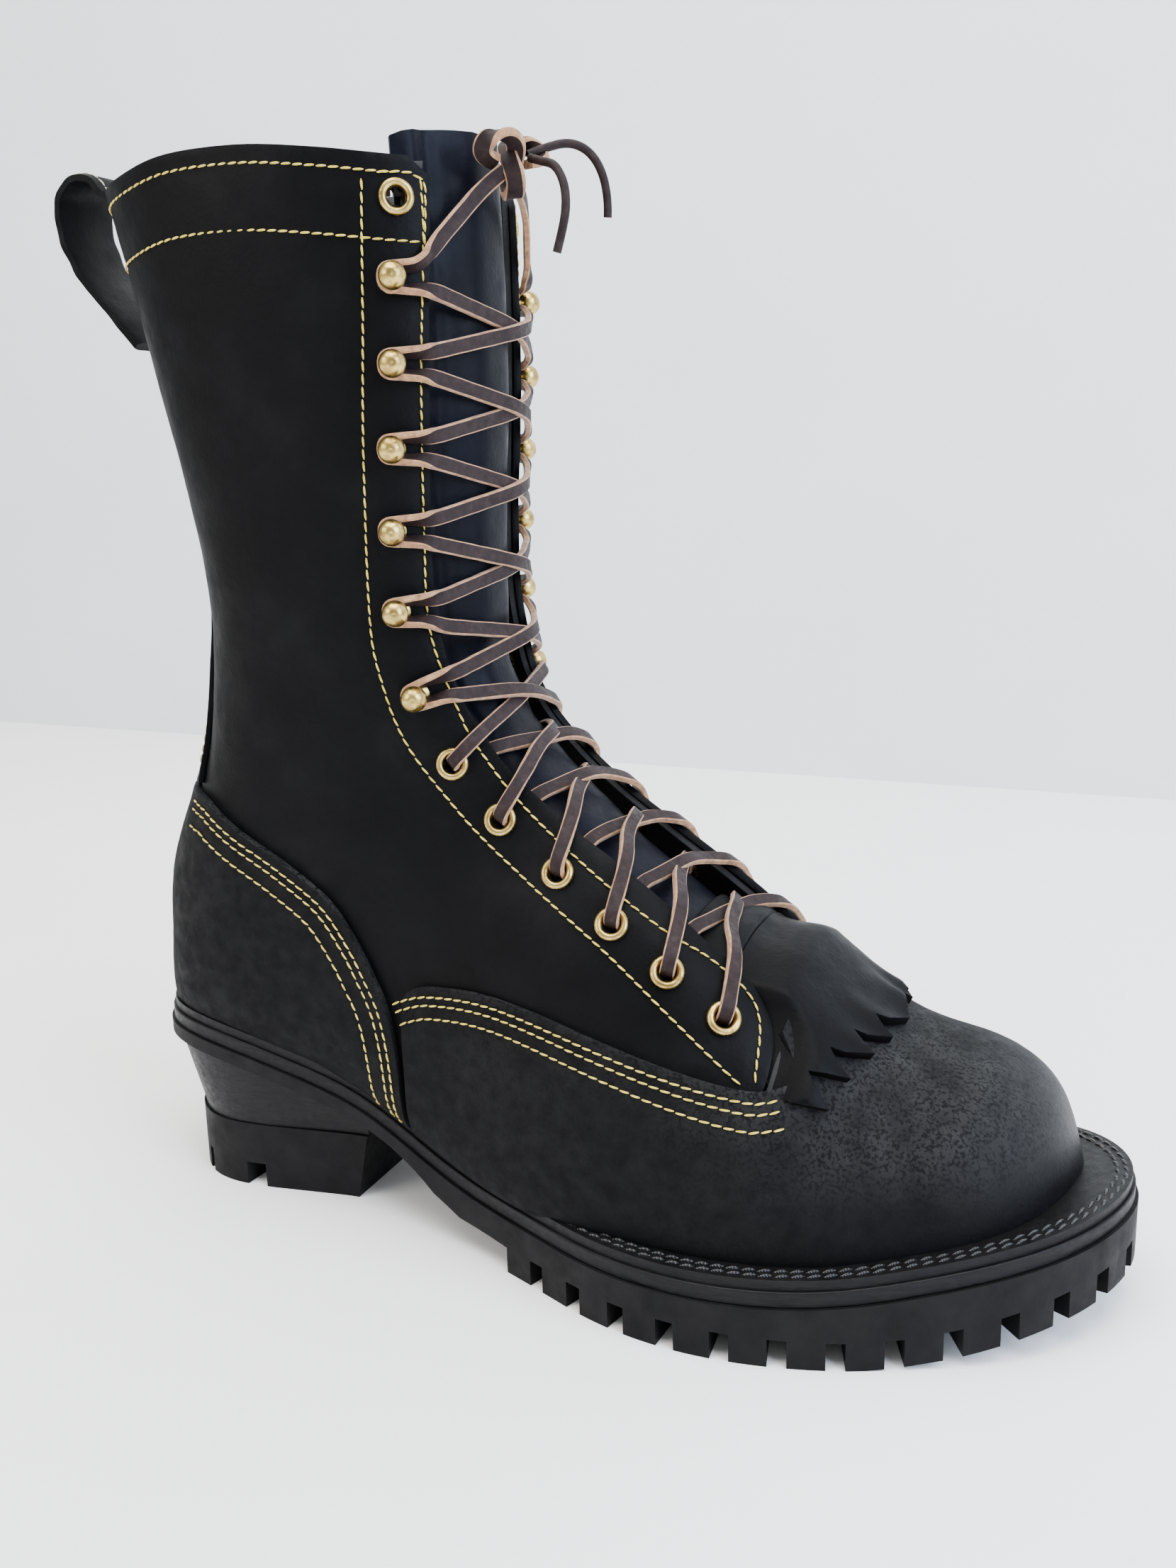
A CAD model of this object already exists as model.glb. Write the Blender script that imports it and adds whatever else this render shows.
import math

import bmesh
import bpy
import numpy as np
from mathutils import Matrix, Vector, geometry, kdtree, noise


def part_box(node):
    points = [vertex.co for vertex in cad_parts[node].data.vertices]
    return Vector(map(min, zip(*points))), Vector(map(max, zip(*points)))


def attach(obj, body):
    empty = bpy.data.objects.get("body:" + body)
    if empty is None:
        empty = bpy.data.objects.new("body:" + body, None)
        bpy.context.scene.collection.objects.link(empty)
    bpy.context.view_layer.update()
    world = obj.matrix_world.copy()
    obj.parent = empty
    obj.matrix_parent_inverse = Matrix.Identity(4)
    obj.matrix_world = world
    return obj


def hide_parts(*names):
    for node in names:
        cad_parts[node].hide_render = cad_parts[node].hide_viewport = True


# The looks of one lace-up leather work boot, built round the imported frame.
# Outlines are drawn in millimetres along the frame's axes, and mesh_piece turns them into metres.

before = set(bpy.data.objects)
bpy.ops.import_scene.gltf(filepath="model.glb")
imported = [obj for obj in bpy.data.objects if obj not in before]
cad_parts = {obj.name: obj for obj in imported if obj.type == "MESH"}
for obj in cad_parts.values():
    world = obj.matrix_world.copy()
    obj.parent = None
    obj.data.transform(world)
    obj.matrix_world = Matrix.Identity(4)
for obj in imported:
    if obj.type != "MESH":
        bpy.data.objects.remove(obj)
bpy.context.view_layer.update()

MM = 0.001
PI = math.pi

# Drawn sizes of the three nodes that set the boot's scale.
DRAWN_SOLE_LENGTH = 314.5
DRAWN_SOLE_WIDTH = 116.5
DRAWN_RIM = 316.3
ANKLE_HEIGHT = 180.0
sole_low, sole_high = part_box("outsole")
rim_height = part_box("quarter_lateral")[1].z / MM
LONG = (sole_high.x - sole_low.x) / MM / DRAWN_SOLE_LENGTH
WIDE = (sole_high.y - sole_low.y) / MM / DRAWN_SOLE_WIDTH
TALL = (rim_height - ANKLE_HEIGHT) / (DRAWN_RIM - ANKLE_HEIGHT)

# Leather thicknesses, the same as the solids'.
LEATHER = 2.1
OVERLAY = 2.2
FACING = 1.8
GAP = 0.2
OVER_IN = GAP
OVER_OUT = GAP + OVERLAY
INNER_OUT = -LEATHER - GAP
INNER_IN = INNER_OUT - FACING

# ---- the upper's surface
# A fan of sections from level at the rim to upright at the toe: front (x, z), back (x, z),
# ridge y, lateral and medial half width, widest share, back and front squareness.
STATIONS = [
    ((83, 318), (-41.5, 318), 0, 45, 45, 0.50, 2.3, 2.7),
    ((84, 285), (-33.5, 285), 0, 44, 44, 0.50, 2.3, 2.7),
    ((83.5, 252), (-25.5, 252), 0, 42.5, 42.5, 0.50, 2.3, 2.7),
    ((82, 223), (-19, 223), 0, 41, 41, 0.50, 2.3, 2.7),
    ((81.5, 199), (-15, 197), 0, 40, 40, 0.49, 2.3, 2.8),
    ((83, 184), (-15.5, 170), 0, 39.5, 39.5, 0.48, 2.3, 2.9),
    ((85, 177), (-20, 144), 0, 39, 39, 0.46, 2.3, 3.0),
    ((87.5, 171), (-28.5, 122), 0, 38.5, 38.5, 0.44, 2.3, 3.1),
    ((90, 166.5), (-37, 101), 0, 38, 38, 0.42, 2.3, 3.2),
    ((92.5, 163), (-40, 79), 0, 37.5, 37.5, 0.40, 2.35, 3.3),
    ((95, 160), (-38, 54), 0, 37.5, 37.5, 0.37, 2.6, 3.4),
    ((98, 157), (-18, 47), 0, 37.5, 37.5, 0.32, 3.2, 3.4),
    ((102, 152.5), (9, 46), 0, 38, 37.5, 0.28, 4.0, 3.3),
    ((106, 148.5), (36, 42), 0, 39, 37.5, 0.25, 4.5, 3.1),
    ((112, 143), (62, 31), 0, 42, 38, 0.23, 4.5, 2.9),
    ((121, 136), (86, 21), 0, 47, 39, 0.21, 4.5, 2.75),
    ((134, 126), (112, 16), 0, 53, 40, 0.20, 4.5, 2.6),
    ((152, 112), (142, 15), 1, 57.5, 41.5, 0.21, 4.5, 2.5),
    ((172, 95), (170, 15), 2, 58.5, 42.5, 0.24, 4.5, 2.4),
    ((191, 78.5), (194, 16), 4, 55.5, 41.5, 0.29, 4.5, 2.35),
    ((209, 68.5), (213, 19), 5.5, 49, 37.5, 0.33, 4.5, 2.4),
    ((227, 64), (231, 22), 7, 41, 32, 0.36, 4.2, 2.5),
    ((244, 54.5), (246, 26), 8, 24, 19, 0.40, 3.5, 2.4),
    ((252.5, 31), (251.5, 26), 8.5, 3, 3, 0.50, 2.4, 2.3),
]
TABLE = np.array([[*front, *back, *rest] for front, back, *rest in STATIONS], float)
TOE_END = len(STATIONS) - 1.08


def second_slopes(table):
    """Second slopes of the natural cubic splines through the table's evenly spaced rows."""
    count = len(table)
    system = np.eye(count)
    right = np.zeros_like(table)
    for i in range(1, count - 1):
        system[i, i - 1:i + 2] = (1, 4, 1)
        right[i] = 6 * (table[i + 1] - 2 * table[i] + table[i - 1])
    return np.linalg.solve(system, right)


SLOPES = second_slopes(TABLE)


def unit(vectors):
    return vectors / np.linalg.norm(vectors, axis=-1, keepdims=True)


def tangents(points):
    """Unit directions along a run of points."""
    return unit(np.gradient(points, axis=0))


def run_along(points):
    """Distance run at each point of a line."""
    return np.concatenate([[0], np.cumsum(np.linalg.norm(np.diff(points, axis=0), axis=1))])


def read_at(marks, run, values):
    """Rows of a table of values read at marks along its run."""
    return np.stack([np.interp(marks, run, values[:, k]) for k in range(3)], 1)


def stretched(points):
    """Scale drawn points to the frame's size."""
    x, y, z = points[..., 0] * LONG, points[..., 1] * WIDE, points[..., 2]
    z = np.where(z > ANKLE_HEIGHT, ANKLE_HEIGHT + (z - ANKLE_HEIGHT) * TALL, z)
    return np.stack([x, y, z], -1)


def skin(s, turn):
    """Points of the outer surface; turn is 0 behind, pi in front, negative on the lateral side."""
    s, turn = np.broadcast_arrays(np.asarray(s, float), np.asarray(turn, float))
    turn = (turn + PI) % (2 * PI) - PI
    i = np.clip(np.floor(s).astype(int), 0, len(TABLE) - 2)
    b = (s - i)[..., None]
    a = 1 - b
    bend = ((a ** 3 - a) * SLOPES[i] + (b ** 3 - b) * SLOPES[i + 1]) / 6
    rows = a * TABLE[i] + b * TABLE[i + 1] + bend
    xf, zf, xb, zb, ridge, lateral, medial, widest, back, front = np.moveaxis(rows, -1, 0)
    along = np.abs(turn)
    half = np.where(turn >= 0, medial, -lateral)
    behind = along <= PI / 2
    power = 2 / np.where(behind, back, front)
    reach = np.abs(np.cos(along)) ** power
    part = np.where(behind, widest * (1 - reach), widest + (1 - widest) * reach)
    spread = np.clip(np.sin(along), 0, 1) ** power
    return stretched(np.stack([xb + (xf - xb) * part, ridge + half * spread, zb + (zf - zb) * part], -1))


def outward(s, turn):
    step = 0.03
    s, turn = np.broadcast_arrays(np.asarray(s, float), np.asarray(turn, float))
    across = skin(s, turn + step) - skin(s, turn - step)
    down = skin(s + step, turn) - skin(s - step, turn)
    return unit(np.cross(across, down))


def surface(s, turn, offset=0.0):
    """Points that stand offset millimetres outside the upper's surface."""
    return skin(s, turn) + outward(s, turn) * np.asarray(offset, float)[..., None]


SIDE_VIEW = (0, 2)
PLAN_VIEW = (0, 1)
SEARCH_STATIONS = np.arange(0, 22, 0.5)
SEARCH_TURNS = np.arange(0.9, 3.1, 0.1)
SEARCH_ROUNDS = 10
LONGEST_MOVE = 0.4


def locate(spot, side, view=SIDE_VIEW, guess=None):
    """Find (s, turn) of the surface point whose two coordinates in a view are spot."""
    goal = np.array(spot, float)
    axes = list(view)

    def miss(s, turn):
        return skin(s, side * turn)[..., axes] - goal

    if guess is None:
        s, turn = np.meshgrid(SEARCH_STATIONS, SEARCH_TURNS, indexing="ij")
        best = np.argmin(np.linalg.norm(miss(s, turn), axis=-1))
        s, turn = s.flat[best], turn.flat[best]
    else:
        s, turn = guess[0], guess[1] * side
    step = 0.001
    for _ in range(SEARCH_ROUNDS):
        error = miss(s, turn)
        slope = np.stack([(miss(s + step, turn) - error), (miss(s, turn + step) - error)], -1) / step
        move = np.clip(np.linalg.lstsq(slope, error, rcond=None)[0], -LONGEST_MOVE, LONGEST_MOVE)
        s -= move[0]
        turn = min(max(turn - move[1], 0.02), PI - 0.02)
    return s, side * turn


def fine_curve(points, pitch):
    """Points along a smooth curve through the given ones, about pitch apart."""
    points = np.array(points, float)
    padded = np.vstack([2 * points[0] - points[1], points, 2 * points[-1] - points[-2]])
    made = []
    for p0, p1, p2, p3 in zip(padded, padded[1:], padded[2:], padded[3:]):
        count = max(1, int(np.linalg.norm(p2 - p1) / pitch))
        for t in np.arange(count) / count:
            made.append(0.5 * (2 * p1 + (p2 - p0) * t + (2 * p0 - 5 * p1 + 4 * p2 - p3) * t ** 2
                               + (3 * p1 - p0 - 3 * p2 + p3) * t ** 3))
    made.append(points[-1])
    return np.array(made)


TRACE_MISS = 0.3


def trace(points, side, view=SIDE_VIEW, pitch=1.6):
    """Carry a drawn curve on to the surface, as (s, turn) pairs."""
    found = []
    for spot in fine_curve(points, pitch):
        place = locate(spot, side, view, found[-1] if found else None)
        if not found or np.linalg.norm(skin(*place)[list(view)] - spot) < TRACE_MISS:
            found.append(place)
    return found


def offset_curve(points, distance):
    """A side-view curve moved to its left by a distance."""
    points = np.array(points, float)
    along = tangents(points)
    return points + np.stack([-along[:, 1], along[:, 0]], 1) * distance


FLAP_EDGE = [(79.5, 330), (78, 311), (77.5, 288), (76, 252), (74.5, 221), (74.3, 196), (76.3, 181.5),
             (80, 167), (93, 148), (110.5, 133.5), (128.5, 122), (145, 110.5), (156.5, 101.5),
             (164.5, 95.5), (171.5, 88.5), (176, 82), (177.8, 75.5), (176.5, 67), (171, 58), (164, 50)]
QUARTER_FOOT = [(164, 50), (150, 55), (120, 63), (92, 67), (70, 60), (60, 34)]
VAMP_SEAM = [(64.5, 77.5), (70, 81.3), (84, 83), (99, 83), (116.5, 81), (132, 78), (148.5, 74.3),
             (163.5, 71), (176, 68.7), (185, 70)]
VAMP_REAR = [(64.5, 77.5), (64.5, 66), (65.5, 50), (66, 34)]
COUNTER_EDGE = [(-12, 132.6), (-4.5, 131), (10, 122.5), (24, 114.5), (38.5, 104.5), (48, 92.5),
                (54, 82), (59, 71.5), (62.5, 55), (64, 36)]
COUNTER_TOP = 133.5
RIM = [(-50, 310.5), (-41, 311), (-18, 313), (5, 316), (30, 316), (52, 313.7), (71, 311.5), (95, 310.5)]
LEDGE = [(-50, 58.5), (-16, 58.2), (4, 55), (24, 50.5), (44, 44.5), (62, 36), (76, 29.5),
         (89, 25.8), (106, 24), (144, 23.5), (179, 24), (201, 25.5), (224, 29), (249, 33.5),
         (276, 37.5)]


def height_on(curve, x):
    """Height of a side-view curve at x, read from its fine points."""
    fine = fine_curve(curve, 2.0)
    return np.interp(np.asarray(x) / LONG, fine[:, 0], fine[:, 1])


def station_at(turn, height_of):
    """Station where the surface passes down through a height at one turn."""
    low, high = -0.6, 12.0
    for _ in range(30):
        middle = (low + high) / 2
        x, _, z = skin(middle, turn)
        if z > height_of(x):
            low = middle
        else:
            high = middle
    return (low + high) / 2


def rim_station(turn, drop=0.0):
    return station_at(turn, lambda x: stretched(np.array([0, 0, height_on(RIM, x)]))[2] - drop)


def rim_line(first, last, drop=0.0, count=50):
    return [(rim_station(turn, drop), turn) for turn in np.linspace(first, last, count)]


# ---- meshes
def placed(name, data):
    """A new object of the scene."""
    thing = bpy.data.objects.new(name, data)
    bpy.context.scene.collection.objects.link(thing)
    return thing


def mesh_piece(name, points, faces, materials, sharp_angle=50.0, face_materials=None, body="boot"):
    """Make a mesh from millimetre points, shade it and hang it on a body of the frame."""
    mesh = bpy.data.meshes.new(name)
    mesh.from_pydata((np.asarray(points) * MM).tolist(), [], [list(map(int, f)) for f in faces])
    for material in materials:
        mesh.materials.append(material)
    if face_materials is not None:
        mesh.polygons.foreach_set("material_index", np.array(face_materials, np.int32))
    mesh.validate()
    mesh.shade_smooth()
    mesh.set_sharp_from_angle(angle=math.radians(sharp_angle))
    piece = placed(name, mesh)
    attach(piece, body)
    return piece


def inside_outline(points, outline):
    """Which of the points lie inside a closed outline."""
    x, y = points[:, 0], points[:, 1]
    hit = np.zeros(len(points), bool)
    for (xa, ya), (xb, yb) in zip(outline, np.roll(outline, -1, axis=0)):
        crosses = (ya > y) != (yb > y)
        if ya != yb:
            hit ^= crosses & (x < (xb - xa) * (y - ya) / (yb - ya) + xa)
    return hit


GRID_S, GRID_TURN = 0.07, 2 * PI / 170
EDGE_ROOM = 0.55


def tree_of(spots):
    """Search tree for the nearest of some points."""
    tree = kdtree.KDTree(len(spots))
    for i, spot in enumerate(spots):
        tree.insert(spot, i)
    tree.balance()
    return tree


def grid_in(outline, step_s, step_turn):
    """Even points inside an outline, kept off its edge."""
    low, high = outline.min(0), outline.max(0)
    s, turn = np.meshgrid(np.arange(low[0], high[0], step_s), np.arange(low[1], high[1], step_turn))
    points = np.stack([s.ravel(), turn.ravel()], 1)
    points = points[inside_outline(points, outline)]
    scale = (1 / step_s, 1 / step_turn)
    tree = tree_of([(s * scale[0], turn * scale[1], 0) for s, turn in outline])
    return np.array([p for p in points if tree.find((p[0] * scale[0], p[1] * scale[1], 0))[2] > EDGE_ROOM])


def triangulated(outline, step_s=GRID_S, step_turn=GRID_TURN):
    """Fill an outline in the (s, turn) plane with triangles."""
    outline = np.array(outline, float)
    inner = grid_in(outline, step_s, step_turn)
    spots = [Vector(p) for p in np.vstack([outline, inner])]
    ring = list(range(len(outline)))
    edges = list(zip(ring, ring[1:] + ring[:1]))
    made = geometry.delaunay_2d_cdt(spots, edges, [ring], 1, 1e-6)
    return np.array([tuple(p) for p in made[0]]), np.array([f for f in made[2] if len(f) == 3])


# Height and width in millimetres of each size of swell.
SWELLS = ((0.55, 38), (0.22, 13), (0.07, 2.6))


def relief(points, strength, seed):
    """Small swells and dents of leather, in millimetres."""
    shift = Vector((seed * 7.1, seed * 3.3, seed * 5.7))
    heights = [sum(height * noise.noise(Vector(p) / width + shift) for height, width in SWELLS)
               for p in points]
    return np.array(heights) * strength


GROOVE_DEPTH, GROOVE_REACH = 0.32, 1.9
seams = []


def grooves(points):
    """Depth by which the stitch rows pull the leather down near them."""
    if not seams:
        return np.zeros(len(points))
    tree = tree_of(np.vstack(seams))
    distance = np.array([tree.find(p)[2] for p in points])
    return GROOVE_DEPTH * np.exp(-(distance / GROOVE_REACH * 1.6) ** 2)


def boundary_loops(faces):
    """Directed edges that belong to only one face."""
    seen = {}
    for face in faces:
        for a, b in zip(face, np.roll(face, -1)):
            seen[(int(a), int(b))] = True
    return [edge for edge in seen if (edge[1], edge[0]) not in seen]


def rounded_rim(piece, width, segments=2):
    """Round the sharp edges of a finished piece."""
    build = bmesh.new()
    build.from_mesh(piece.data)
    sharp = [e for e in build.edges if len(e.link_faces) == 2 and e.calc_face_angle(0) > math.radians(55)]
    bmesh.ops.bevel(build, geom=sharp, offset=width * MM, segments=segments, profile=0.5,
                    affect="EDGES", clamp_overlap=True)
    build.to_mesh(piece.data)
    build.free()
    piece.data.shade_smooth()
    piece.data.set_sharp_from_angle(angle=math.radians(60))


def leather_panel(name, nodes, outline, inner, outer, material, body="boot", holes=(), above=None,
                  strength=1.0, steps=(GRID_S, GRID_TURN), edge=0.5, shape=None, stitched=False):
    """A sheet of leather cut to an outline on the surface, standing for CAD nodes."""
    flat, faces = triangulated(outline, *steps)
    s, turn = flat[:, 0], flat[:, 1]
    normals = outward(s, turn)
    base = skin(s, turn)
    lift = outer(s, turn) if callable(outer) else np.full(len(s), float(outer))
    under = inner(s, turn) if callable(inner) else np.full(len(s), float(inner))
    swell = relief(base, strength, len(name))
    if shape is not None:
        swell = swell + shape(s, turn, base)
    top = base + normals * (lift + swell)[:, None]
    if stitched:
        top -= normals * grooves(top)[:, None]
    low = base + normals * (under + 0.6 * swell)[:, None]
    middle = top[faces].mean(1)
    keep = np.ones(len(faces), bool)
    for centre, radius in holes:
        keep &= np.linalg.norm(middle - centre, axis=1) > radius
    if above is not None:
        keep &= middle[:, 2] > height_on(above, middle[:, 0]) - 2.5
    faces = faces[keep]
    normal_way = np.cross(top[faces[:, 1]] - top[faces[:, 0]], top[faces[:, 2]] - top[faces[:, 0]])
    if np.einsum("ij,ij->i", normal_way, normals[faces[:, 0]]).sum() < 0:
        faces = faces[:, ::-1]
    count = len(top)
    sides = [(a, b, b + count, a + count)[::-1] for a, b in boundary_loops(faces)]
    everything = [tuple(f) for f in faces] + [tuple(f[::-1] + count) for f in faces] + sides
    used = np.unique(np.concatenate([np.ravel(f) for f in everything]))
    order = np.full(2 * count, -1)
    order[used] = np.arange(len(used))
    points = np.vstack([top, low])[used]
    piece = mesh_piece(name, points, [order[list(f)] for f in everything], [material], body=body)
    if edge:
        rounded_rim(piece, edge)
    if nodes:
        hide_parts(*nodes)
    return piece


# ---- stitches
STITCH_PITCH = 3.3
STITCH_LENGTH = 2.75
STITCH_RADIUS = 0.31
STITCH_BOW, STITCH_SINK = 0.62, 0.42


def resampled(points, normals, pitch):
    """Even marks along a curve with the tangent and surface normal at each."""
    run = run_along(points)
    marks = np.arange(pitch / 2, run[-1], pitch)
    spots = read_at(marks, run, points)
    outs = unit(read_at(marks, run, normals))
    ahead = read_at(marks + 0.5, run, points) - spots
    ahead /= np.maximum(np.linalg.norm(ahead, axis=1, keepdims=True), 1e-9)
    return spots, ahead, outs


def row_on(trail, offset):
    """A stitch row along (s, turn) pairs, standing offset above the surface."""
    s, turn = np.array(trail).T
    return surface(s, turn, np.full(len(s), float(offset))), outward(s, turn)


def stitches(name, rows, material, pitch=STITCH_PITCH, length=STITCH_LENGTH, radius=STITCH_RADIUS,
             slant=0.10, body="boot"):
    """Threads that dive into the leather at both ends of every stitch."""
    points, faces = [], []
    sections, sides = 6, 6
    for curve, outs in rows:
        for spot, ahead, out in zip(*resampled(curve, outs, pitch)):
            across = np.cross(out, ahead)
            ahead = ahead + across * slant
            first = len(points)
            for k in range(sections):
                share = k / (sections - 1)
                bow = math.sin(PI * share)
                rise = STITCH_BOW * bow - STITCH_SINK
                centre = spot + ahead * (share - 0.5) * length + out * rise * radius
                size = radius * (0.45 + 0.55 * bow ** 0.5)
                for j in range(sides):
                    angle = 2 * PI * j / sides
                    points.append(centre + across * math.cos(angle) * size + out * math.sin(angle) * size)
            for k in range(sections - 1):
                for j in range(sides):
                    a, b = first + k * sides + j, first + k * sides + (j + 1) % sides
                    faces.append((a, b, b + sides, a + sides))
    return mesh_piece(name, points, faces, [material], sharp_angle=180, body=body)


# ---- ribbons
def rounded_path(spots, outs, pitch=0.8):
    """Straight runs joined by tangent arcs, sampled, with the wide directions carried along."""
    spots, outs = np.array(spots, float), np.array(outs, float)
    for i in range(1, len(outs)):
        if outs[i] @ outs[i - 1] < 0:
            outs[i] = -outs[i]
    line, wide = [spots[0]], [outs[0]]
    for i in range(1, len(spots) - 1):
        back, on = spots[i - 1] - spots[i], spots[i + 1] - spots[i]
        reach = 0.46 * min(np.linalg.norm(back), np.linalg.norm(on))
        first = spots[i] + back / np.linalg.norm(back) * reach
        last = spots[i] + on / np.linalg.norm(on) * reach
        count = max(3, int(2 * reach / pitch))
        for t in np.arange(count + 1) / count:
            line.append(first * (1 - t) ** 2 + spots[i] * 2 * t * (1 - t) + last * t ** 2)
            before = outs[i - 1] * (0.5 - t / 2) if t < 0.5 else 0
            after = outs[i + 1] * (t / 2) if t > 0.5 else 0
            wide.append(outs[i] + before * 0.6 + after * 0.6)
    line.append(spots[-1])
    wide.append(outs[-1])
    line, wide = np.array(line), np.array(wide)
    steps = np.concatenate([[True], np.linalg.norm(np.diff(line, axis=0), axis=1) > 0.05])
    line, wide = line[steps], wide[steps]
    run = run_along(line)
    marks = np.linspace(0, run[-1], int(run[-1] / pitch) + 1)
    return read_at(marks, run, line), read_at(marks, run, wide)


WIDE_FACES = (2, 6)


def ribbon_mesh(line, wide, half_width, half_thick):
    """Sweep a flat thong with chamfered corners along a line: kind 0 is a wide face, 1 a cut edge."""
    along = tangents(line)
    for _ in range(3):
        wide[1:-1] = (wide[:-2] + 2 * wide[1:-1] + wide[2:]) / 4
    wide = wide - along * np.einsum("ij,ij->i", wide, along)[:, None]
    wide = unit(wide)
    thick = np.cross(along, wide)
    cut = 0.35
    shape = [(1, -1 + cut), (1, 1 - cut), (1 - cut / 2, 1), (-1 + cut / 2, 1), (-1, 1 - cut), (-1, -1 + cut),
             (-1 + cut / 2, -1), (1 - cut / 2, -1)]
    sides = len(shape)
    points = []
    for spot, w, t in zip(line, wide, thick):
        wobble = 1 + 0.05 * noise.noise(Vector(spot / 5))
        for a, b in shape:
            points.append(spot + w * a * half_width * wobble + t * b * half_thick)
    faces, kinds = [], []
    for i in range(len(line) - 1):
        for j in range(sides):
            a, b = i * sides + j, i * sides + (j + 1) % sides
            faces.append((a, b, b + sides, a + sides))
            kinds.append(0 if j in WIDE_FACES else 1)
    faces.append(tuple(range(sides))[::-1])
    faces.append(tuple(range(len(points) - sides, len(points))))
    kinds += [1, 1]
    return points, faces, kinds


# ---- materials
class Paint:
    """A procedural material under construction."""

    def __init__(self, name, roughness=0.6, metallic=0.0):
        self.material = bpy.data.materials.new(name)
        self.material.use_nodes = True
        self.tree = self.material.node_tree
        self.surface = self.tree.nodes["Principled BSDF"]
        self.surface.inputs["Roughness"].default_value = roughness
        self.surface.inputs["Metallic"].default_value = metallic
        self.place = self.tree.nodes.new("ShaderNodeTexCoord").outputs["Object"]
        self.height = None

    def link(self, source, target):
        self.tree.links.new(source, target)

    def node(self, kind, settings=()):
        """A new node with some of its inputs set."""
        made = self.tree.nodes.new(kind)
        for name, value in dict(settings).items():
            made.inputs[name].default_value = value
        return made

    def specular(self, level):
        self.surface.inputs["Specular IOR Level"].default_value = level

    def gloss(self, specular, coat, coat_roughness=0.3):
        """Thin wax over the leather."""
        self.specular(specular)
        self.surface.inputs["Coat Weight"].default_value = coat
        self.surface.inputs["Coat Roughness"].default_value = coat_roughness

    def sheen(self, weight):
        self.surface.inputs["Sheen Weight"].default_value = weight

    def grain(self, wavelength, detail=4.0, roughness=0.6, stretch=(1, 1, 1)):
        """Noise of a wavelength in millimetres."""
        mapping = self.node("ShaderNodeMapping", {"Scale": stretch})
        self.link(self.place, mapping.inputs["Vector"])
        made = self.node("ShaderNodeTexNoise", {"Scale": 1 / (wavelength * MM), "Detail": detail,
                                                "Roughness": roughness})
        self.link(mapping.outputs["Vector"], made.inputs["Vector"])
        return made.outputs["Fac"]

    def cells(self, wavelength):
        """Rounded cells like the pebbles of grain leather."""
        made = self.node("ShaderNodeTexVoronoi", {"Scale": 1 / (wavelength * MM)})
        made.feature = "SMOOTH_F1"
        self.link(self.place, made.inputs["Vector"])
        return made.outputs["Distance"]

    def ramp(self, source, stops):
        made = self.tree.nodes.new("ShaderNodeValToRGB")
        ramp = made.color_ramp
        while len(ramp.elements) < len(stops):
            ramp.elements.new(0.5)
        for element, (place, colour) in zip(ramp.elements, stops):
            element.position = place
            element.color = (*colour, 1)
        self.link(source, made.inputs["Fac"])
        return made.outputs["Color"]

    def spread(self, source, low, high, from_low=0.3, from_high=0.7):
        """Map a texture's value to a range."""
        made = self.node("ShaderNodeMapRange", {"From Min": from_low, "From Max": from_high,
                                                "To Min": low, "To Max": high})
        self.link(source, made.inputs["Value"])
        return made.outputs["Result"]

    def mixed(self, share, first, second):
        made = self.tree.nodes.new("ShaderNodeMix")
        made.data_type = "RGBA"
        self.link(share, made.inputs["Factor"])
        for source, socket in ((first, made.inputs["A"]), (second, made.inputs["B"])):
            if isinstance(source, tuple):
                socket.default_value = (*source, 1)
            else:
                self.link(source, socket)
        return made.outputs["Result"]

    def part(self, source, axis):
        """One component of a vector."""
        made = self.tree.nodes.new("ShaderNodeSeparateXYZ")
        self.link(source, made.inputs["Vector"])
        return made.outputs[axis]

    def colour(self, source):
        self.link(source, self.surface.inputs["Base Color"])

    def mottle(self, source, *stops):
        """Colour the surface by a texture."""
        self.colour(self.ramp(source, stops))

    def rough(self, source):
        self.link(source, self.surface.inputs["Roughness"])

    def bump(self, source, depth):
        """Raise the surface by a texture, by a depth in millimetres."""
        made = self.node("ShaderNodeBump", {"Distance": depth * MM})
        self.link(source, made.inputs["Height"])
        if self.height is not None:
            self.link(self.height, made.inputs["Normal"])
        self.height = made.outputs["Normal"]
        self.link(self.height, self.surface.inputs["Normal"])


def smooth_leather():
    paint = Paint("waxed_smooth_leather", 0.5)
    paint.gloss(0.055, coat=0.01)
    paint.mottle(paint.grain(34, 5), (0.3, (0.0012, 0.0012, 0.0014)), (0.55, (0.0022, 0.0022, 0.0026)),
                 (0.8, (0.0055, 0.0055, 0.006)))
    paint.rough(paint.spread(paint.grain(9, 5), 0.42, 0.6))
    paint.bump(paint.cells(0.9), 0.05)
    paint.bump(paint.grain(2.2, 6), 0.10)
    return paint.material


def tongue_leather():
    paint = Paint("soft_glove_leather", 0.4)
    paint.gloss(0.05, coat=0.02)
    paint.mottle(paint.grain(24, 4), (0.3, (0.0015, 0.0017, 0.003)), (0.7, (0.003, 0.0036, 0.008)))
    paint.rough(paint.spread(paint.grain(7, 5), 0.36, 0.52))
    paint.bump(paint.cells(1.1), 0.05)
    paint.bump(paint.grain(3.0, 6), 0.12)
    return paint.material


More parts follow.
